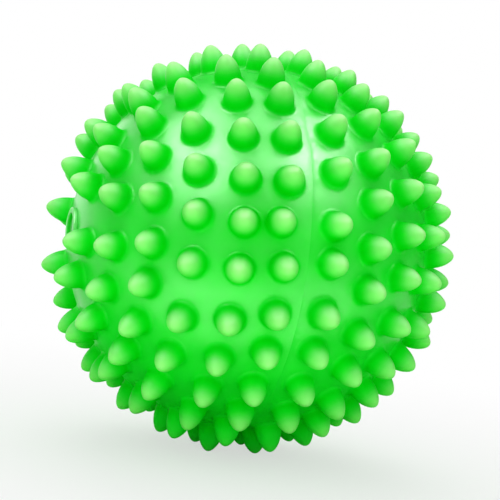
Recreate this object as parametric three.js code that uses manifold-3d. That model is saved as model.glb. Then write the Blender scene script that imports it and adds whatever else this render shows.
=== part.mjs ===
// Hollow soft PVC massage ball covered in bullet-shaped knobs, with a push-in
// stopper in an inflation port.  Units are millimetres.
//
// Frame: the origin is the centre of the ball.  X is the axis that the two mould
// halves open along: the port is at the -X pole, and the parting plane is X = 0.
// +Z is up as the ball rests on the four lowest knobs.
//
// Three pieces: spiky_shell (the skin, in one piece with its solid knobs),
// valve_seat (a ring and sleeve set in the port) and valve_plug (the stopper,
// which pulls out along -X).

import * as THREE from "three";
import { ConvexHull } from "three/addons/math/ConvexHull.js";
import { mergeVertices } from "three/addons/utils/BufferGeometryUtils.js";
import Module from "manifold-3d";

const wasm = await Module();
wasm.setup();

// ---- dimensions ---------------------------------------------------------------

const ROUND_SEGMENTS = 24; // around the port and the turned pieces

const SKIN_RADIUS = 32.7; // centre to the outside of the skin between knobs
const WALL = 2.2; // thickness of the skin
const HOLLOW_DETAIL = 4; // subdivision of the icosahedron that hollows the ball

const KNOB = {
  sides: 6,
  footRadius: 2.45, // where the knob leaves the skin
  shoulderRadius: 1.75,
  shoulderHeight: 3.3, // above the skin
  tipRadius: 0.62, // of the small flat at the tip
  tipDistance: 37.5, // centre of the ball to that flat: 75 mm over the knobs
};
const CROWN_RISE = 0.003; // how far a knob's crown point stands proud of the skin

const PORT = {
  radius: 3.4, // hole through the skin for the valve seat
  webRadius: 5.2, // plain ring of skin around the port
  webPoints: 14,
  cutLength: 8, // of the cutter, which is centred on the skin
};

// In SEAT and PLUG, lengths named Radius are measured from the valve's axis.  Faces
// are at distances from the ball's centre along -X: Top is a piece's outward face
// and Under its inward face.
const SEAT = {
  rimRadius: 3.85, // raised rim that shows outside
  rimTop: 33.2,
  rimUnder: 32.52,
  rimBevelWidth: 0.28,
  rimBevelHeight: 0.3,
  recessRadius: 2.65, // recess the stopper's head sits in
  recessFloor: 31.4,
  recessBevel: 0.25,
  boreRadius: 1.6,
  bodyRadius: 3.3, // the sleeve where it passes through the skin
  flangeRadius: 4.3, // inner flange that locks the seat behind the skin
  flangeTop: 29.8,
  flangeUnder: 29.0,
  innerRadius: 2.6, // the sleeve inwards of the flange
  innerEnd: 27.6,
};

const PLUG = {
  headRadius: 2.5,
  headTop: 32.6,
  headUnder: 31.45,
  headBevel: 0.18,
  shankRadius: 1.5, // also the crest of the sealing bead
  neckRadius: 1.32, // on either side of the bead
  noseRadius: 1.0,
  tip: 27.0,
  // Heights above the tip.
  noseHeight: 0.12,
  lowerNeck: 0.6,
  beadCrest: 1.3,
  grooveStart: 1.8,
  grooveEnd: 2.4,
  shankStart: 2.9,
};

// Rings of knobs.  polar is the angle from the -X pole, and an azimuth is measured
// about X from +Z towards +Y, both in degrees.  A pair is an azimuth and a shift in
// polar angle, for a knob that stands a little off its ring.
const KNOB_RINGS = [
  { polar: 16.5, azimuths: [[5.2, 1.5], 71.2, 133.2, 215.2, 259.2, [315.2, 2.5]] },
  { polar: 31.1, azimuths: [
    5.8, 31.2, 57.8, 84.2, 110.8, 137.2, 162.2, 187.2, 213.2, 238.8, 264.2, 291.6,
    316.1, 339.2,
  ] },
  { polar: 44.7, azimuths: [
    12.8, 28.8, 45.5, 62.4, 79.2, 95.8, 112.7, 129.4, 146.2, 165.2, 183.2, 200.2,
    217.2, 234.2, 252.8, 269.1, 287.6, 305.9, 324.8, 342.2, 357.2,
  ] },
  { polar: 57.5, azimuths: [
    7.2, 24.8, 41.2, 57.5, 74, 90.5, 107, 123.3, 139.8, 156.2, 176.2, 195.2,
    212.8, 229.4, 245.2, 264.4, 280.6, 296.1, 312.1, 330.1, 346.2,
  ] },
  { polar: 70.8, azimuths: [
    10.8, 25.6, 40.5, 55.4, 70.2, 85, 99.8, 114.8, 129.6, 144.4, 159.2, 176.2,
    193.2, 207.2, 221.9, 235.4, 249.1, 264.9, 278.6, 292.1, 306.6, 322.4, 337.4, 355.2,
  ] },
  { polar: 83.0, azimuths: [
    4.8, 18.8, 32.6, 46.6, 60.5, 74.5, 88.5, 102.5, 116.5, 130.3, 144.3, 158.8, 173.25,
    186.75, 203.2, 215.6, 227.8, 241.3, 253.3, 267.1, [279.4, -2], 291.6, 305.4,
    319.9, 332.9, 347.1,
  ] },
  { polar: 97.0, azimuths: [
    3.8, 17.8, 31.9, 45.9, 60, 74, 88, 102, 116, 130.2, 144.2, 158.8, 173.25,
    186.75, 199.8, 216.2, 229.3, 242.6, 254.8, 269.4, 280.1, 296.1, 309.9,
    324.4, 336.8, 350.4,
  ] },
  { polar: 110.1, azimuths: [
    11.2, 25.2, 39.2, 53.2, 67.2, 81.2, 95.2, 109.2, 123.2, 137.2, 151.2, 165.2, 179.2,
    193.2, 207.8, 220.2, 235.3, 248.2, 262.6, 275.1, 289.2, 302.4, 318.1,
    331.8, 344.9, 357.2,
  ] },
  { polar: 123.6, azimuths: [
    0.8, 16.2, 31.8, 47.2, 62.8, 78.2, 93.8, 109.2, 124.8, 140.2, 155.8, 171.2,
    186.8, 202.2, 217.8, 233.4, 250.2, 266.8, 281.4, 297.4, 314.2, 330.8, 345.8,
  ] },
  { polar: 136.5, azimuths: [
    16.9, 35.8, 54.5, 73.5, 92.2, 111, 129.9, 148.8, 167.6, 186.4, 205.2, 227.2,
    245.2, 265.2, 284.2, 303.2, 321.8, 339.2, 358.1,
  ] },
  { polar: 149.2, azimuths: [
    22.9, 48.1, 73.5, 98.8, 124, 149.3, 174.7, 199.9, 225.2, 251.8, 278.8, 304.6,
    332.2, 357.6,
  ] },
  { polar: 162.0, azimuths: [33.2, 77.2, 121.2, 166.2, 213.2, 259.2, 305.2, 349.2] },
  { polar: 180.0, azimuths: [0] },
];

// ---- helpers ------------------------------------------------------------------

// A closed three.js geometry as a solid.
function toSolid(geometry) {
  // Only positions are kept, so that vertices merge across seams and facets.
  const bare = new THREE.BufferGeometry()
    .setAttribute("position", geometry.attributes.position)
    .setIndex(geometry.index);
  const merged = mergeVertices(bare, 1e-4);
  return new wasm.Manifold(
    new wasm.Mesh({
      numProp: 3,
      vertProperties: new Float32Array(merged.attributes.position.array),
      triVerts: new Uint32Array(merged.index.array),
    }),
  );
}

// A solid back as a flat-shaded three.js geometry.
function toGeometry(solid) {
  const { vertProperties, triVerts } = solid.getMesh();
  const flat = new THREE.BufferGeometry()
    .setAttribute("position", new THREE.BufferAttribute(vertProperties, 3))
    .setIndex(new THREE.BufferAttribute(triVerts, 1))
    .toNonIndexed();
  flat.computeVertexNormals();
  return flat;
}

// The unit vector at a polar angle and an azimuth, both in degrees.
function direction(polar, azimuth) {
  const p = THREE.MathUtils.degToRad(polar);
  const a = THREE.MathUtils.degToRad(azimuth);
  return new THREE.Vector3(
    -Math.cos(p),
    Math.sin(p) * Math.sin(a),
    Math.sin(p) * Math.cos(a),
  );
}

function plasticPiece({ name, geometry, color, roughness }) {
  const material = new THREE.MeshStandardMaterial({
    color: new THREE.Color(...color),
    roughness,
    metalness: 0,
  });
  const piece = new THREE.Mesh(geometry, material);
  piece.name = name;
  return piece;
}

// ---- spiky_shell --------------------------------------------------------------

// The corners of a knob's cross-section at a distance from the ball's centre.
// The first one lies towards +X, so mirrored knobs have mirrored facets.  A knob
// that itself points along X starts towards +Z instead.
function knobSection(axis, distance, radius) {
  const towards =
    Math.abs(axis.x) > 0.999 ? new THREE.Vector3(0, 0, 1) : new THREE.Vector3(1, 0, 0);
  const first = towards.clone().addScaledVector(axis, -towards.dot(axis)).normalize();
  const second = new THREE.Vector3().crossVectors(axis, first);
  return Array.from({ length: KNOB.sides }, (_, i) => {
    const angle = (2 * Math.PI * i) / KNOB.sides;
    return axis
      .clone()
      .multiplyScalar(distance)
      .addScaledVector(first, radius * Math.cos(angle))
      .addScaledVector(second, radius * Math.sin(angle));
  });
}

// A knob's sides and tip, open at the foot.
function knobTriangles(axis, foot) {
  const shoulderDistance = SKIN_RADIUS + KNOB.shoulderHeight;
  const shoulder = knobSection(axis, shoulderDistance, KNOB.shoulderRadius);
  const tip = knobSection(axis, KNOB.tipDistance, KNOB.tipRadius);
  const triangles = [];
  for (const [lower, upper] of [[foot, shoulder], [shoulder, tip]])
    for (let i = 0; i < KNOB.sides; i++) {
      const j = (i + 1) % KNOB.sides;
      triangles.push([lower[i], lower[j], upper[j]], [lower[i], upper[j], upper[i]]);
    }
  for (let i = 1; i + 1 < KNOB.sides; i++) triangles.push([tip[0], tip[i], tip[i + 1]]);
  return triangles;
}

// Points on the skin around the port and at the -X pole, to keep it plain there.
function portWebPoints() {
  const polar = THREE.MathUtils.radToDeg(Math.asin(PORT.webRadius / SKIN_RADIUS));
  const web = Array.from({ length: PORT.webPoints }, (_, i) =>
    direction(polar, (360 * (i + 0.5)) / PORT.webPoints),
  );
  return [...web, direction(0, 0)].map((point) => point.multiplyScalar(SKIN_RADIUS));
}

function faceCorners(face) {
  const corners = [];
  let edge = face.edge;
  do {
    corners.push(edge.head().point);
    edge = edge.next;
  } while (edge !== face.edge);
  return corners;
}

// The skin between the knobs is the convex hull of the knobs' feet.  Each foot also
// gets a crown point a little proud of the skin, so that the hull closes it with a
// small fan.  Those fans are then left out and a knob put in their place.
function outerSurface() {
  const axes = KNOB_RINGS.flatMap(({ polar, azimuths }) =>
    azimuths.map((entry) => {
      const [azimuth, shift = 0] = [entry].flat();
      return direction(polar + shift, azimuth);
    }),
  );
  const footDistance = Math.sqrt(SKIN_RADIUS ** 2 - KNOB.footRadius ** 2);
  const feet = axes.map((axis) => knobSection(axis, footDistance, KNOB.footRadius));
  const crowns = new Set(
    axes.map((axis) => axis.clone().multiplyScalar(SKIN_RADIUS + CROWN_RISE)),
  );

  const hull = new ConvexHull().setFromPoints([
    ...feet.flat(),
    ...crowns,
    ...portWebPoints(),
  ]);
  const skin = hull.faces
    .map(faceCorners)
    .filter((corners) => !corners.some((corner) => crowns.has(corner)));
  const knobs = axes.flatMap((axis, i) => knobTriangles(axis, feet[i]));

  const coordinates = [...skin, ...knobs].flat().flatMap(({ x, y, z }) => [x, y, z]);
  return new THREE.BufferGeometry().setAttribute(
    "position",
    new THREE.Float32BufferAttribute(coordinates, 3),
  );
}

function makeShell() {
  const hollow = new THREE.IcosahedronGeometry(SKIN_RADIUS - WALL, HOLLOW_DETAIL);
  const port = new THREE.CylinderGeometry(
    PORT.radius,
    PORT.radius,
    PORT.cutLength,
    ROUND_SEGMENTS,
  );
  port.rotateZ(Math.PI / 2);
  port.translate(-SKIN_RADIUS, 0, 0);

  const solid = toSolid(outerSurface()).subtract(toSolid(hollow)).subtract(toSolid(port));
  return plasticPiece({
    name: "spiky_shell",
    geometry: toGeometry(solid),
    color: [0.16, 0.74, 0.2],
    roughness: 0.42,
  });
}

// ---- valve_seat and valve_plug ------------------------------------------------

// A turned profile's columns are the radius and the distance from the ball's centre.
function turned(profile) {
  const points = profile.map(([radius, distance]) => new THREE.Vector2(radius, distance));
  return new THREE.LatheGeometry(points, ROUND_SEGMENTS);
}

function makeSeat() {
  const profile = [
    [SEAT.boreRadius, SEAT.innerEnd],
    [SEAT.innerRadius, SEAT.innerEnd],
    [SEAT.innerRadius, SEAT.flangeUnder],
    [SEAT.flangeRadius, SEAT.flangeUnder],
    [SEAT.flangeRadius, SEAT.flangeTop],
    [SEAT.bodyRadius, SEAT.flangeTop],
    [SEAT.bodyRadius, SEAT.rimUnder],
    [SEAT.rimRadius, SEAT.rimUnder],
    [SEAT.rimRadius, SEAT.rimTop - SEAT.rimBevelHeight],
    [SEAT.rimRadius - SEAT.rimBevelWidth, SEAT.rimTop],
    [SEAT.recessRadius + SEAT.recessBevel, SEAT.rimTop],
    [SEAT.recessRadius, SEAT.rimTop - SEAT.recessBevel],
    [SEAT.recessRadius, SEAT.recessFloor],
    [SEAT.boreRadius, SEAT.recessFloor],
    [SEAT.boreRadius, SEAT.innerEnd],
  ];
  return plasticPiece({
    name: "valve_seat",
    geometry: turned(profile),
    color: [0.32, 0.82, 0.36],
    roughness: 0.38,
  });
}

function makePlug() {
  const profile = [
    [0, PLUG.tip],
    [PLUG.noseRadius, PLUG.tip + PLUG.noseHeight],
    [PLUG.neckRadius, PLUG.tip + PLUG.lowerNeck],
    [PLUG.shankRadius, PLUG.tip + PLUG.beadCrest],
    [PLUG.neckRadius, PLUG.tip + PLUG.grooveStart],
    [PLUG.neckRadius, PLUG.tip + PLUG.grooveEnd],
    [PLUG.shankRadius, PLUG.tip + PLUG.shankStart],
    [PLUG.shankRadius, PLUG.headUnder],
    [PLUG.headRadius, PLUG.headUnder],
    [PLUG.headRadius, PLUG.headTop - PLUG.headBevel],
    [PLUG.headRadius - PLUG.headBevel, PLUG.headTop],
    [0, PLUG.headTop],
  ];
  return plasticPiece({
    name: "valve_plug",
    geometry: turned(profile),
    color: [0.1, 0.62, 0.2],
    roughness: 0.4,
  });
}

// The turned pieces stand on +Y, so this group lays them along -X, outwards.
const valve = new THREE.Group();
valve.rotation.z = Math.PI / 2;
valve.add(makeSeat(), makePlug());

const ball = new THREE.Group();
ball.add(makeShell(), valve);

export default ball;
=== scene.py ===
import math

import bpy
import numpy as np
from mathutils import Matrix, Vector
from mathutils.geometry import delaunay_2d_cdt


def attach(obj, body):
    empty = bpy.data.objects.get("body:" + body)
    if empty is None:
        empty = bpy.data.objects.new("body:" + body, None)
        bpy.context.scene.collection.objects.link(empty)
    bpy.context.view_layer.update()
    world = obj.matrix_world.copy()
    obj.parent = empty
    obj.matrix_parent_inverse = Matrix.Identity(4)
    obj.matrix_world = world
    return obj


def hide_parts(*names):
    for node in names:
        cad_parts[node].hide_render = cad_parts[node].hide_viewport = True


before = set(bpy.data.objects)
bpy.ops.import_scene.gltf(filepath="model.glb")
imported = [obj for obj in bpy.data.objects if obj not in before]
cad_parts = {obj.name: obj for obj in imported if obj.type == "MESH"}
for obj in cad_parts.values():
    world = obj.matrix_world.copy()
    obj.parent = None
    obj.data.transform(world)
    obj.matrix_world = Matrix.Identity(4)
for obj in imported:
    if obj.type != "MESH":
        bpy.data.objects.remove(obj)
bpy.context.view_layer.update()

# ------------------------------------------------------------------ dimensions (mm)
# The knobs' places come from the CAD shell: its tip flats are its farthest points.

SKIN_R = 32.7
WALL = 2.2
TIP_R = 37.5
PORT_R = 3.4
SEGMENTS = 24          # round a knob
PORT_SEGMENTS = 56
RIDGE = 0.045          # height of the parting line's ridge
RIDGE_HALF = 0.17

# A knob: a fillet runs up from the skin to its side, and the side curves in to a blunt tip.
SIDE_R = 2.38
FILLET_H = 0.72
FOOT_LIMITS = (2.66, 2.88)      # radius where the fillet starts, less where knobs crowd
PROFILE = [                     # radius and height above the skin
    (2.34, 1.10), (2.24, 1.65), (2.09, 2.25), (1.88, 2.85), (1.62, 3.40), (1.30, 3.90), (0.93, 4.35), (0.55, 4.645), (0.21, 4.777),
]
TIP_H = TIP_R - SKIN_R


def tip_directions():
    """One unit vector for each knob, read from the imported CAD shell."""
    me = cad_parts["spiky_shell"].data
    co = np.zeros(len(me.vertices) * 3, np.float64)
    me.vertices.foreach_get("co", co)
    co = co.reshape(-1, 3) * 1000
    r = np.linalg.norm(co, axis=1)
    far = co[r > TIP_R - 0.15]
    left = np.ones(len(far), bool)
    found = []
    for i in range(len(far)):
        if not left[i]:
            continue
        near = left & (np.linalg.norm(far - far[i], axis=1) < 2.0)
        pts = np.unique(np.round(far[near], 3), axis=0)
        c = pts.mean(0)
        found.append(c / np.linalg.norm(c))
        left &= ~near
    found = np.array(found)
    return found[np.lexsort((np.round(found[:, 2], 4), np.round(found[:, 1], 4), np.round(found[:, 0], 4)))]


KNOBS = tip_directions()


def basis(n):
    """Two unit vectors across each unit vector of n."""
    ref = np.where(np.abs(n[:, :1]) > 0.95, np.array([[0.0, 0.0, 1.0]]), np.array([[1.0, 0.0, 0.0]]))
    a = ref - n * (ref * n).sum(1, keepdims=True)
    a /= np.linalg.norm(a, axis=1, keepdims=True)
    return a, np.cross(n, a)


def warp(p):
    """The slow unevenness of a soft moulded ball, a few hundredths of a millimetre, along the radius."""
    r = np.linalg.norm(p, axis=1, keepdims=True)
    n = p / r
    x, y, z = n[:, 0], n[:, 1], n[:, 2]
    d = (
        0.050 * np.sin(5.1 * x + 1.3) * np.cos(4.3 * y - 0.4)
        + 0.040 * np.sin(7.7 * y + 3.9 * z + 0.8)
        + 0.030 * np.cos(9.1 * z - 5.2 * x + 2.1)
    )
    return p * (1 + d[:, None] / SKIN_R)


# ------------------------------------------------------------------ the skin and its knobs

def build_skin():
    rng = np.random.default_rng(20)
    count = len(KNOBS)
    a, b = basis(KNOBS)
    t = np.arange(SEGMENTS) * 2 * math.pi / SEGMENTS
    cos, sin = np.cos(t), np.sin(t)

    # Soft knobs never come out of the mould quite alike: length, girth and lean.
    length = 1 + rng.normal(0, 0.008, count).clip(-0.016, 0.008)
    girth = 1 + rng.normal(0, 0.012, count).clip(-0.03, 0.02)
    lean = rng.normal(0, 0.010, (count, 2)).clip(-0.022, 0.022)
    gap = np.sort(np.linalg.norm(KNOBS[:, None] - KNOBS[None], axis=2), axis=1)[:, 1] * SKIN_R
    foot = (gap / 2 - 0.07).clip(*FOOT_LIMITS)
    # The pale tips are painted light, a little different from knob to knob; the knobs it rests on get least of it,
    # painted shade.
    low = ((-KNOBS[:, 2] - 0.80) / 0.13).clip(0, 1)
    tip_paint = (1 - 0.55 * low * low * (3 - 2 * low)) * (1 - rng.uniform(0, 0.07, count))
    # Painted shade on the lower knobs: their painted tip light starts higher up the side.
    late = 1 + 0.32 * np.clip((-KNOBS[:, 2] - 0.25) / 0.45, 0, 1)

    verts, faces, along = [], [], []
    total = 0
    ring_index = np.zeros((count, SEGMENTS), int)
    for k in range(count):
        rings = []
        for i in range(5):
            u = i / 4
            r = SIDE_R + (foot[k] - SIDE_R) * (1 - math.sin(u * math.pi / 2))
            h = FILLET_H * (1 - math.cos(u * math.pi / 2))
            rings.append((r, h + (math.sqrt(SKIN_R ** 2 - foot[k] ** 2) - SKIN_R) * (1 - u) ** 2, u))
        rings += [(r, h, 1) for r, h in PROFILE]
        levels = []
        for r, h, u in rings:
            up = max(h, 0) / TIP_H
            grow = 1 + (girth[k] - 1) * u
            hh = h * (length[k] if h > 0 else 1)
            c = KNOBS[k] * (SKIN_R + hh) + (a[k] * lean[k, 0] + b[k] * lean[k, 1]) * TIP_H * up ** 1.5
            verts.append(c + r * grow * (cos[:, None] * a[k] + sin[:, None] * b[k]))
            rise = min(1.0, max(0.0, (0.80 * h / TIP_H - 0.12) / 0.68)) ** late[k]
            along.append(np.full(SEGMENTS, 0.10 + 0.22 * u if u < 1 else 0.32 + tip_paint[k] * 0.68 * rise))
            levels.append(total + np.arange(SEGMENTS))
            total += SEGMENTS
        ring_index[k] = levels[0]
        verts.append((KNOBS[k] * (SKIN_R + TIP_H * length[k]) + (a[k] * lean[k, 0] + b[k] * lean[k, 1]) * TIP_H)[None])
        along.append(np.full(1, 0.32 + tip_paint[k] * 0.68))
        tip = total
        total += 1
        for lo, hi in zip(levels, levels[1:]):
            for i in range(SEGMENTS):
                j = (i + 1) % SEGMENTS
                faces.append((lo[i], lo[j], hi[j], hi[i]))
        top = levels[-1]
        for i in range(SEGMENTS):
            faces.append((top[i], top[(i + 1) % SEGMENTS], tip))
    verts = np.concatenate(verts)

    # The skin between the knobs: points spread over the sphere, kept clear of the feet,
    # rows along the parting line, and a ring round the port.
    def clear(points, gap):
        angle = np.arccos(np.clip(points @ KNOBS.T, -1, 1))
        return (angle > np.arcsin(foot / SKIN_R)[None] + gap / SKIN_R).all(1)

    collar = []                 # a ring of skin points close round each foot keeps its edge even
    for k in range(count):
        q = math.sin(math.asin(foot[k] / SKIN_R) + 0.30 / SKIN_R)
        tt = t + math.pi / SEGMENTS
        ring = KNOBS[k] * math.sqrt(1 - q * q) + q * (np.cos(tt)[:, None] * a[k] + np.sin(tt)[:, None] * b[k])
        angle = np.arccos(np.clip(ring @ KNOBS.T, -1, 1)) - np.arcsin(foot / SKIN_R)[None]
        angle[:, k] = 1
        other = angle.min(1) * SKIN_R
        ring = ring[(other > 0.36) & (np.abs(ring[:, 0]) * SKIN_R > RIDGE_HALF + 0.2)]
        collar.append(ring)
    collar = np.concatenate(collar)

    n = 12000
    i = np.arange(n) + 0.5
    z = 1 - 2 * i / n
    phi = i * math.pi * (3 - math.sqrt(5))
    s = np.sqrt(1 - z * z)
    spread = np.c_[s * np.cos(phi), s * np.sin(phi), z]
    port_angle = math.asin(PORT_R / SKIN_R)
    keep = clear(spread, 0.55) & (np.abs(spread[:, 0]) * SKIN_R > RIDGE_HALF + 0.35)
    keep &= np.arccos(np.clip(-spread[:, 0], -1, 1)) > port_angle + 0.5 / SKIN_R
    spread = spread[keep]
    m = 420
    psi = np.arange(m) * 2 * math.pi / m
    ridge = np.zeros(0)
    rows = []
    heights = []
    for off, up in ((0.0, RIDGE), (-RIDGE_HALF, 0.0), (RIDGE_HALF, 0.0), (-RIDGE_HALF * 0.5, RIDGE * 0.62), (RIDGE_HALF * 0.5, RIDGE * 0.62)):
        x = off / SKIN_R
        c = math.sqrt(1 - x * x)
        rows.append(np.c_[np.full(m, x), c * np.cos(psi), c * np.sin(psi)])
        heights.append(np.full(m, up))
    rows = np.concatenate(rows)
    heights = np.concatenate(heights)
    ok = clear(rows, 0.2)
    rows, heights = rows[ok], heights[ok]
    tp = np.arange(PORT_SEGMENTS) * 2 * math.pi / PORT_SEGMENTS
    port_rings = []
    for r in (PORT_R, PORT_R + 0.45):
        q = r / SKIN_R
        port_rings.append(np.c_[np.full(PORT_SEGMENTS, -math.sqrt(1 - q * q)), q * np.cos(tp), q * np.sin(tp)])
    feet = verts[ring_index.ravel()]
    feet_dir = feet / np.linalg.norm(feet, axis=1, keepdims=True)

    direction = np.concatenate([feet_dir, port_rings[0], port_rings[1], rows, spread, collar])
    height = np.concatenate([
        np.zeros(len(feet_dir) + 2 * PORT_SEGMENTS), heights, np.zeros(len(spread) + len(collar))])
    index = np.full(len(direction), -1)
    index[: len(feet_dir)] = ring_index.ravel()
    extra = np.arange(len(feet_dir), len(direction))
    index[extra] = len(verts) + np.arange(len(extra))
    verts = np.concatenate([verts, direction[extra] * (SKIN_R + height[extra])[:, None]])

    # Stereographic projection from the port's pole turns the skin into a plane with
    # the port's edge outside everything; the knobs' feet are fixed edges in it.
    plane = direction[:, 1:] / (1 + direction[:, :1])
    edges = []
    for k in range(count):
        base = k * SEGMENTS
        edges += [(base + i, base + (i + 1) % SEGMENTS) for i in range(SEGMENTS)]
    base = len(feet_dir)
    edges += [(base + i, base + (i + 1) % PORT_SEGMENTS) for i in range(PORT_SEGMENTS)]
    out = delaunay_2d_cdt([Vector(p) for p in plane.tolist()], edges, [], 0, 1e-9, True)
    origin = [o[0] if len(o) else -1 for o in out[3]]
    knob_of = np.full(len(direction), -1)
    knob_of[: len(feet_dir)] = np.repeat(np.arange(count), SEGMENTS)
    web = 0
    for f in out[2]:
        f = [origin[v] for v in f]
        if min(f) < 0:
            raise RuntimeError("the triangulation made a new point")
        owners = {int(knob_of[v]) for v in f}
        if len(owners) == 1 and -1 not in owners:
            continue
        p = direction[f]
        if np.dot(np.cross(p[1] - p[0], p[2] - p[0]), p[0]) < 0:
            f = f[::-1]
        faces.append(tuple(int(index[v]) for v in f))
        web += 1

    # Inside: the port's wall and the hollow.
    inner = SKIN_R - WALL
    rim = index[base: base + PORT_SEGMENTS]
    rings = [rim]
    steps = 44
    a0 = math.asin(PORT_R / inner)
    more = []
    for s_ in range(steps):
        ang = a0 + (math.pi - a0) * s_ / steps
        more.append(np.c_[np.full(PORT_SEGMENTS, -inner * math.cos(ang)),
                          inner * math.sin(ang) * np.cos(tp), inner * math.sin(ang) * np.sin(tp)])
        rings.append(len(verts) + s_ * PORT_SEGMENTS + np.arange(PORT_SEGMENTS))
    verts = np.concatenate([verts] + more + [np.array([[inner, 0.0, 0.0]])])
    end = len(verts) - 1
    for lo, hi in zip(rings, rings[1:]):
        for i in range(PORT_SEGMENTS):
            j = (i + 1) % PORT_SEGMENTS
            faces.append((int(lo[i]), int(hi[i]), int(hi[j]), int(lo[j])))
    for i in range(PORT_SEGMENTS):
        faces.append((int(rings[-1][i]), end, int(rings[-1][(i + 1) % PORT_SEGMENTS])))

    me = bpy.data.meshes.new("ball_skin")
    me.from_pydata((warp(verts) / 1000).tolist(), [], [tuple(int(v) for v in f) for f in faces])
    me.validate()
    along = np.concatenate(along)
    along = np.concatenate([along, np.zeros(len(verts) - len(along))]).astype(np.float32)
    me.attributes.new("along", "FLOAT", "POINT").data.foreach_set("value", along)
    me.polygons.foreach_set("use_smooth", np.ones(len(me.polygons), bool))
    ob = bpy.data.objects.new("ball_skin", me)
    bpy.context.scene.collection.objects.link(ob)
    return ob


# ------------------------------------------------------------------ turned pieces

def rounded(profile, closed, steps=4):
    """A (radius, distance) profile whose third number rounds that corner."""
    pts = [np.array(p[:2], float) for p in profile]
    rad = [p[2] if len(p) > 2 else 0 for p in profile]
    out = []
    n = len(pts)
    for i in range(n):
        if rad[i] == 0 or (not closed and i in (0, n - 1)):
            out.append(pts[i])
            continue
        p, q, r = pts[i - 1], pts[i], pts[(i + 1) % n]
        u, v = p - q, r - q
        lu, lv = np.linalg.norm(u), np.linalg.norm(v)
        d = min(rad[i], 0.48 * lu, 0.48 * lv)
        s, e = q + u / lu * d, q + v / lv * d
        for k in range(steps + 1):
            w = k / steps
            out.append((1 - w) ** 2 * s + 2 * w * (1 - w) * q + w * w * e)
    return out


def lathe(name, profile, closed, segments=72):
    """Turns a profile round the X axis; its distances run towards -X."""
    t = np.arange(segments) * 2 * math.pi / segments
    verts, rings, faces = [], [], []
    for r, d in profile:
        if r < 1e-6:
            rings.append([len(verts)])
            verts.append((-d, 0.0, 0.0))
        else:
            rings.append(list(range(len(verts), len(verts) + segments)))
            verts += [(-d, r * math.cos(x), r * math.sin(x)) for x in t]
    pairs = list(zip(rings, rings[1:] + ([rings[0]] if closed else [])))
    if not closed:
        pairs = list(zip(rings, rings[1:]))
    for lo, hi in pairs:
        for i in range(segments):
            j = (i + 1) % segments
            if len(lo) == 1:
                faces.append((lo[0], hi[j], hi[i]))
            elif len(hi) == 1:
                faces.append((lo[i], lo[j], hi[0]))
            else:
                faces.append((lo[i], lo[j], hi[j], hi[i]))
    me = bpy.data.meshes.new(name)
    me.from_pydata((np.array(verts) / 1000).tolist(), [], faces)
    me.validate()
    me.polygons.foreach_set("use_smooth", np.ones(len(me.polygons), bool))
    ob = bpy.data.objects.new(name, me)
    bpy.context.scene.collection.objects.link(ob)
    me.set_sharp_from_angle(angle=math.radians(50))
    return ob


def outward(ob):
    """Turns a closed mesh's faces out if its volume comes out negative."""
    import bmesh
    bm = bmesh.new()
    bm.from_mesh(ob.data)
    if bm.calc_volume(signed=True) < 0:
        bmesh.ops.reverse_faces(bm, faces=bm.faces[:])
        bm.to_mesh(ob.data)
    bm.free()


def build_seat():
    return lathe("port_seat", rounded([
        (1.6, 27.6), (2.6, 27.6, 0.3), (2.6, 29.0, 0.2), (4.3, 29.0, 0.25), (4.3, 29.8, 0.25), (3.3, 29.8, 0.2),
        (3.3, 32.50), (3.80, 32.50), (3.87, 32.58, 0.05), (3.80, 33.20, 0.34), (2.72, 33.20, 0.26),
        (2.65, 31.4, 0.15), (1.6, 31.4, 0.12),
    ], True), True, 96)


def build_plug():
    return lathe("port_stopper", rounded([
        (0, 27.0), (1.05, 27.02, 0.4), (1.32, 27.7, 0.2), (1.5, 28.3, 0.3), (1.32, 28.85, 0.25), (1.32, 29.45, 0.25),
        (1.5, 29.95, 0.2), (1.5, 31.45, 0.1), (2.5, 31.45, 0.12), (2.5, 32.6, 0.24), (1.35, 32.52, 0.5), (0, 32.50),
    ], False), False, 96)


# ------------------------------------------------------------------ materials

def nodes_of(name):
    m = bpy.data.materials.new(name)
    m.use_nodes = True
    nt = m.node_tree
    return m, nt, nt.nodes["Principled BSDF"]


def ramp(nt, stops, x=0, y=0):
    n = nt.nodes.new("ShaderNodeValToRGB")
    n.location = (x, y)
    e = n.color_ramp.elements
    while len(e) > 1:
        e.remove(e[-1])
    e[0].position, e[0].color = stops[0][0], (*stops[0][1], 1)
    for p, c in stops[1:]:
        s = e.new(p)
        s.color = (*c, 1)
    return n


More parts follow.
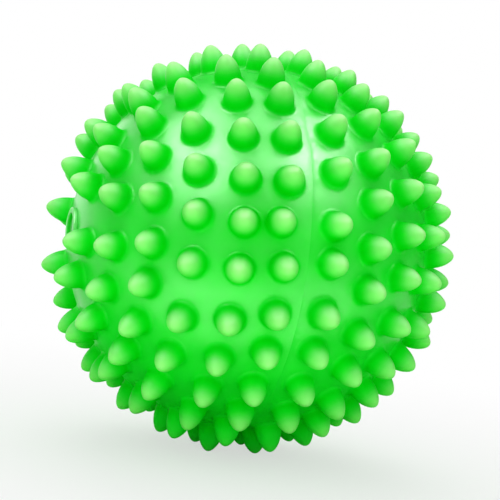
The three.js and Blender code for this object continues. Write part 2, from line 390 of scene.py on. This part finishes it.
def pvc(name, stops, roughness=((0, 0.42),), specular=((0, 0.5),), spread=0.06, subsurface=0.35, tint=0.06, bump=0.25):
    """Soft moulded PVC.  Colour and gloss follow the mesh's "along" attribute, which is 0 on the skin and
    rises towards 1 at a knob's tip, less on the lower knobs; the colour along it is painted shade at the feet and
    painted light at the tips.  Over that go slow mottling, painted shade in crevices, an orange-peel surface and light
    in its depth."""
    m, nt, bsdf = nodes_of(name)
    link = nt.links.new
    co = nt.nodes.new("ShaderNodeTexCoord")
    place = nt.nodes.new("ShaderNodeAttribute")
    place.attribute_name = "along"
    colour = ramp(nt, stops)
    link(place.outputs["Fac"], colour.inputs["Fac"])

    # Painted shade in the crevices: where occlusion is found the colour loses its red and blue, standing in for the
    # shade there and the purer green of light thrown about inside.
    crevice_ao = nt.nodes.new("ShaderNodeAmbientOcclusion")
    crevice_ao.samples = 12
    crevice_ao.only_local = True
    crevice_ao.inputs["Distance"].default_value = 0.006
    open_ = nt.nodes.new("ShaderNodeMapRange")
    open_.interpolation_type = "SMOOTHSTEP"
    open_.inputs["From Min"].default_value = 0.40
    open_.inputs["From Max"].default_value = 0.92
    link(crevice_ao.outputs["AO"], open_.inputs["Value"])
    crevice_shade = nt.nodes.new("ShaderNodeMix")
    crevice_shade.data_type = "RGBA"
    crevice_shade.blend_type = "MULTIPLY"
    crevice_shade.inputs["Factor"].default_value = 1.0
    link(colour.outputs["Color"], crevice_shade.inputs["A"])
    crevice_shade.inputs["B"].default_value = (0.05, 0.90, 0.12, 1)
    shade_mixed = nt.nodes.new("ShaderNodeMix")
    shade_mixed.data_type = "RGBA"
    link(open_.outputs["Result"], shade_mixed.inputs["Factor"])
    link(crevice_shade.outputs["Result"], shade_mixed.inputs["A"])
    link(colour.outputs["Color"], shade_mixed.inputs["B"])

    mottle = nt.nodes.new("ShaderNodeTexNoise")
    mottle.inputs["Scale"].default_value = 95
    mottle.inputs["Detail"].default_value = 3
    mottle.inputs["Roughness"].default_value = 0.55
    link(co.outputs["Object"], mottle.inputs["Vector"])
    shift = nt.nodes.new("ShaderNodeMapRange")
    shift.inputs["From Min"].default_value = 0.3
    shift.inputs["From Max"].default_value = 0.7
    shift.inputs["To Min"].default_value = 1 - tint
    shift.inputs["To Max"].default_value = 1 + tint
    link(mottle.outputs["Fac"], shift.inputs["Value"])
    hsv = nt.nodes.new("ShaderNodeHueSaturation")
    link(shift.outputs["Result"], hsv.inputs["Value"])
    link(shade_mixed.outputs["Result"], hsv.inputs["Color"])
    link(hsv.outputs["Color"], bsdf.inputs["Base Color"])

    fine = nt.nodes.new("ShaderNodeTexNoise")
    fine.inputs["Scale"].default_value = 1400
    fine.inputs["Detail"].default_value = 2
    link(co.outputs["Object"], fine.inputs["Vector"])
    peel = nt.nodes.new("ShaderNodeTexNoise")
    peel.inputs["Scale"].default_value = 420
    peel.inputs["Detail"].default_value = 1
    link(co.outputs["Object"], peel.inputs["Vector"])
    mix = nt.nodes.new("ShaderNodeMath"); mix.operation = "MULTIPLY_ADD"
    mix.inputs[1].default_value = 0.35
    link(fine.outputs["Fac"], mix.inputs[0])
    link(peel.outputs["Fac"], mix.inputs[2])
    b = nt.nodes.new("ShaderNodeBump")
    b.inputs["Strength"].default_value = bump
    b.inputs["Distance"].default_value = 0.00006
    link(mix.outputs[0], b.inputs["Height"])
    link(b.outputs["Normal"], bsdf.inputs["Normal"])

    cloud = nt.nodes.new("ShaderNodeTexNoise")
    cloud.inputs["Scale"].default_value = 160
    cloud.inputs["Detail"].default_value = 4
    link(co.outputs["Object"], cloud.inputs["Vector"])
    wobble = nt.nodes.new("ShaderNodeMapRange")
    wobble.inputs["From Min"].default_value = 0.3
    wobble.inputs["From Max"].default_value = 0.7
    wobble.inputs["To Min"].default_value = -spread
    wobble.inputs["To Max"].default_value = spread
    link(cloud.outputs["Fac"], wobble.inputs["Value"])
    gloss = ramp(nt, [(p, (v, v, v)) for p, v in roughness])
    link(place.outputs["Fac"], gloss.inputs["Fac"])
    rough = nt.nodes.new("ShaderNodeMath"); rough.operation = "ADD"
    link(gloss.outputs["Color"], rough.inputs[0])
    link(wobble.outputs["Result"], rough.inputs[1])
    link(rough.outputs[0], bsdf.inputs["Roughness"])

    shine = ramp(nt, [(p, (v, v, v)) for p, v in specular])
    link(place.outputs["Fac"], shine.inputs["Fac"])
    sheen = nt.nodes.new("ShaderNodeMapRange")          # crowded feet shade each other's reflections
    sheen.interpolation_type = "SMOOTHSTEP"
    sheen.inputs["From Min"].default_value = 0.70
    sheen.inputs["From Max"].default_value = 0.845
    sheen.inputs["To Min"].default_value = 0.08
    sheen.inputs["To Max"].default_value = 1.0
    link(crevice_ao.outputs["AO"], sheen.inputs["Value"])
    level = nt.nodes.new("ShaderNodeMath"); level.operation = "MULTIPLY"
    link(shine.outputs["Color"], level.inputs[0])
    link(sheen.outputs["Result"], level.inputs[1])
    link(level.outputs[0], bsdf.inputs["Specular IOR Level"])

    bsdf.inputs["IOR"].default_value = 1.53
    bsdf.inputs["Subsurface Weight"].default_value = subsurface
    bsdf.inputs["Subsurface Radius"].default_value = (0.12, 1.0, 0.12)
    bsdf.inputs["Subsurface Scale"].default_value = 0.0022
    return m


# Colours along a knob: painted shade at the feet and fillets, deep green without red or blue, paling up the sides to
# painted light at the tips.
WEB = (0.006, 0.730, 0.026)
FOOT_SHADE = (0.004, 0.730, 0.020)
SIDE = (0.016, 0.720, 0.026)
UPPER = (0.062, 0.730, 0.056)
LIGHT = (0.185, 0.790, 0.120)
TIPC = (0.350, 0.850, 0.220)

skin_mat = pvc("soft_pvc_skin", [
    (0.0, WEB), (0.17, WEB), (0.32, FOOT_SHADE), (0.42, FOOT_SHADE), (0.52, SIDE), (0.63, UPPER), (0.80, LIGHT), (1.0, TIPC)],
    [(0.0, 0.36), (0.1, 0.38), (0.35, 0.58), (1.0, 0.62)],
    [(0.0, 0.64), (0.05, 0.60), (0.13, 0.22), (0.24, 0.12), (0.45, 0.14), (0.70, 0.34), (1.0, 0.40)])
seat_mat = pvc("soft_pvc_seat", [(0.0, (0.12, 0.70, 0.13))], [(0.0, 0.38)], subsurface=0.3)
# The stopper is a deeper green than the seat, partly its own colour and partly painted shade for its place sunk in the
# port.
plug_mat = pvc("pvc_stopper", [(0.0, (0.020, 0.50, 0.03))], [(0.0, 0.42)], subsurface=0.25)


# ------------------------------------------------------------------ pieces

skin = build_skin()
outward(skin)
skin.data.materials.append(skin_mat)
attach(skin, "ball")
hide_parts("spiky_shell")

seat = build_seat()
outward(seat)
seat.data.materials.append(seat_mat)
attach(seat, "ball")
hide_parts("valve_seat")

plug = build_plug()
outward(plug)
plug.data.materials.append(plug_mat)
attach(plug, "plug")
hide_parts("valve_plug")


# ------------------------------------------------------------------ stage

scene = bpy.context.scene
scene.view_settings.view_transform = "Standard"
scene.view_settings.look = "None"

# The camera's own axes in the ball's frame.
right = Vector((0.9470, -0.3006, 0.1162)).normalized()
up = Vector((-0.1040, 0.0564, 0.9930))
up = (up - right * up.dot(right)).normalized()
back = right.cross(up)


def placed(v):
    """A vector given in camera axes, in the ball's frame."""
    return right * v[0] + up * v[1] + back * v[2]


cam_data = bpy.data.cameras.new("camera")
cam_data.sensor_width = 36
cam_data.lens = 36 * 1384.0 / 500
cam_data.shift_x = 2.5 / 500
cam_data.shift_y = -2.1 / 500
cam_data.clip_start = 0.01
cam_data.clip_end = 50
cam = bpy.data.objects.new("camera", cam_data)
scene.collection.objects.link(cam)
cam.matrix_world = Matrix((
    (right.x, up.x, back.x, back.x * 0.2540),
    (right.y, up.y, back.y, back.y * 0.2540),
    (right.z, up.z, back.z, back.z * 0.2540),
    (0, 0, 0, 1)))
scene.camera = cam

FLOOR_Z = -0.03709
me = bpy.data.meshes.new("floor")
side = 3.0
me.from_pydata([(-side, -side, FLOOR_Z), (side, -side, FLOOR_Z), (side, side, FLOOR_Z), (-side, side, FLOOR_Z)], [], [(0, 1, 2, 3)])
floor = bpy.data.objects.new("floor", me)
scene.collection.objects.link(floor)
fm, nt, bsdf = nodes_of("floor_white")
bsdf.inputs["Roughness"].default_value = 0.9
bsdf.inputs["Specular IOR Level"].default_value = 0.1
co = nt.nodes.new("ShaderNodeTexCoord")
dist = nt.nodes.new("ShaderNodeVectorMath"); dist.operation = "LENGTH"
nt.links.new(co.outputs["Object"], dist.inputs[0])
near = nt.nodes.new("ShaderNodeMapRange")
near.interpolation_type = "SMOOTHSTEP"
near.inputs["From Min"].default_value = 0.060
near.inputs["From Max"].default_value = 0.105
nt.links.new(dist.outputs["Value"], near.inputs["Value"])
seen = nt.nodes.new("ShaderNodeLightPath")
mirrored = nt.nodes.new("ShaderNodeMath"); mirrored.operation = "MULTIPLY"
nt.links.new(seen.outputs["Is Glossy Ray"], mirrored.inputs[0])
nt.links.new(near.outputs["Result"], mirrored.inputs[1])
direct = nt.nodes.new("ShaderNodeMath"); direct.operation = "MAXIMUM"
nt.links.new(seen.outputs["Is Camera Ray"], direct.inputs[0])
nt.links.new(mirrored.outputs[0], direct.inputs[1])
tone = nt.nodes.new("ShaderNodeMix")          # pale as seen; green in the light it throws back from under the ball, a painted green bounce, and green near the ball in reflections, painted shade
tone.data_type = "RGBA"
tone.inputs["A"].default_value = (0.02, 0.70, 0.06, 1)
tone.inputs["B"].default_value = (0.80, 0.80, 0.795, 1)
nt.links.new(direct.outputs[0], tone.inputs["Factor"])
nt.links.new(tone.outputs["Result"], bsdf.inputs["Base Color"])
fade = nt.nodes.new("ShaderNodeMapRange")
fade.interpolation_type = "SMOOTHSTEP"
fade.inputs["From Min"].default_value = 0.045
fade.inputs["From Max"].default_value = 0.20
fade.inputs["To Min"].default_value = 0.60
fade.inputs["To Max"].default_value = 1.0
nt.links.new(dist.outputs["Value"], fade.inputs["Value"])
emit = nt.nodes.new("ShaderNodeEmission")
emit.inputs["Color"].default_value = (1, 1, 1, 1)
emit.inputs["Strength"].default_value = 1.0
path = nt.nodes.new("ShaderNodeLightPath")
only = nt.nodes.new("ShaderNodeMath"); only.operation = "MULTIPLY"
nt.links.new(path.outputs["Is Camera Ray"], only.inputs[0])
nt.links.new(fade.outputs["Result"], only.inputs[1])
mixs = nt.nodes.new("ShaderNodeMixShader")
nt.links.new(only.outputs[0], mixs.inputs["Fac"])
nt.links.new(bsdf.outputs[0], mixs.inputs[1])
nt.links.new(emit.outputs[0], mixs.inputs[2])
nt.links.new(mixs.outputs[0], nt.nodes["Material Output"].inputs["Surface"])
me.materials.append(fm)

world = bpy.data.worlds.new("studio")
scene.world = world
world.use_nodes = True
wn = world.node_tree
bg = wn.nodes["Background"]
bg.inputs["Color"].default_value = (1, 1, 1, 1)
wp = wn.nodes.new("ShaderNodeLightPath")
dim = wn.nodes.new("ShaderNodeMapRange")        # a bright room for soft light, and none in reflections
dim.inputs["To Min"].default_value = 0.68
dim.inputs["To Max"].default_value = 0.0
wn.links.new(wp.outputs["Is Glossy Ray"], dim.inputs["Value"])
white = wn.nodes.new("ShaderNodeMath"); white.operation = "MAXIMUM"
wn.links.new(dim.outputs["Result"], white.inputs[0])
wn.links.new(wp.outputs["Is Camera Ray"], white.inputs[1])
wn.links.new(white.outputs[0], bg.inputs["Strength"])


def softbox(name, direction, distance, width, length, power, long_axis=(0, 0, 1), diffuse=True, glossy=True):
    """A rectangular light at a direction given in camera axes, its long side along long_axis."""
    data = bpy.data.lights.new(name, "AREA")
    data.shape = "RECTANGLE"
    data.size = width
    data.size_y = length
    data.energy = power
    ob = bpy.data.objects.new(name, data)
    scene.collection.objects.link(ob)
    z = placed(Vector(direction).normalized())
    y = placed(Vector(long_axis))
    y = (y - z * y.dot(z)).normalized()
    x = y.cross(z)
    p = z * distance
    ob.matrix_world = Matrix(((x.x, y.x, z.x, p.x), (x.y, y.y, z.y, p.y), (x.z, y.z, z.z, p.z), (0, 0, 0, 1)))
    ob.visible_camera = False
    ob.visible_diffuse = diffuse
    ob.visible_glossy = glossy
    return ob


softbox("strip_left", (-0.42, 0.82, 0.38), 0.60, 0.22, 0.60, 5.9, diffuse=False)
softbox("strip_right", (0.52, 0.84, 0.11), 0.60, 0.20, 0.60, 5.2, diffuse=False)
softbox("upper_right", (0.50, 0.71, 0.50), 0.60, 0.45, 0.40, 4.0, (0, 1, 0), diffuse=False)
softbox("upper_left", (-0.50, 0.71, 0.50), 0.60, 0.45, 0.40, 3.1, (0, 1, 0), diffuse=False)
softbox("top_shine", (0.0, 1.0, 0.0), 0.60, 0.50, 0.50, 2.8, diffuse=False)
softbox("top", (0.0, 1.0, 0.0), 0.60, 0.50, 0.50, 2.3, glossy=False)
softbox("front", (0.0, 0.0, 1.0), 0.60, 0.50, 0.50, 1.7, (0, 1, 0), glossy=False)
softbox("back", (0.0, 0.75, -0.66), 0.70, 0.60, 0.50, 2.0, (1, 0, 0), glossy=False)
softbox("back_left", (-0.62, 0.30, -0.72), 0.70, 0.50, 0.50, 1.6, diffuse=False)
softbox("back_shine", (0.0, 0.75, -0.66), 0.70, 0.60, 0.50, 1.4, (1, 0, 0), diffuse=False)

# A pale card on the table in front of the ball throws light up into its lower half.
ahead = Vector((back.x, back.y, 0)).normalized()
aside = Vector((0, 0, 1)).cross(ahead)
for name, power, soft, rise in (("card", 0.028, True, 0.0010), ("card_shine", 0.125, False, 0.0016)):
    spot = ahead * 0.072 + Vector((0, 0, FLOOR_Z + rise))
    card = softbox(name, (0.0, 0.0, 1.0), 0.1, 0.24, 0.065, power, diffuse=soft, glossy=not soft)
    card.matrix_world = Matrix((
        (aside.x, -ahead.x, 0, spot.x),
        (aside.y, -ahead.y, 0, spot.y),
        (0, 0, -1, spot.z),
        (0, 0, 0, 1)))
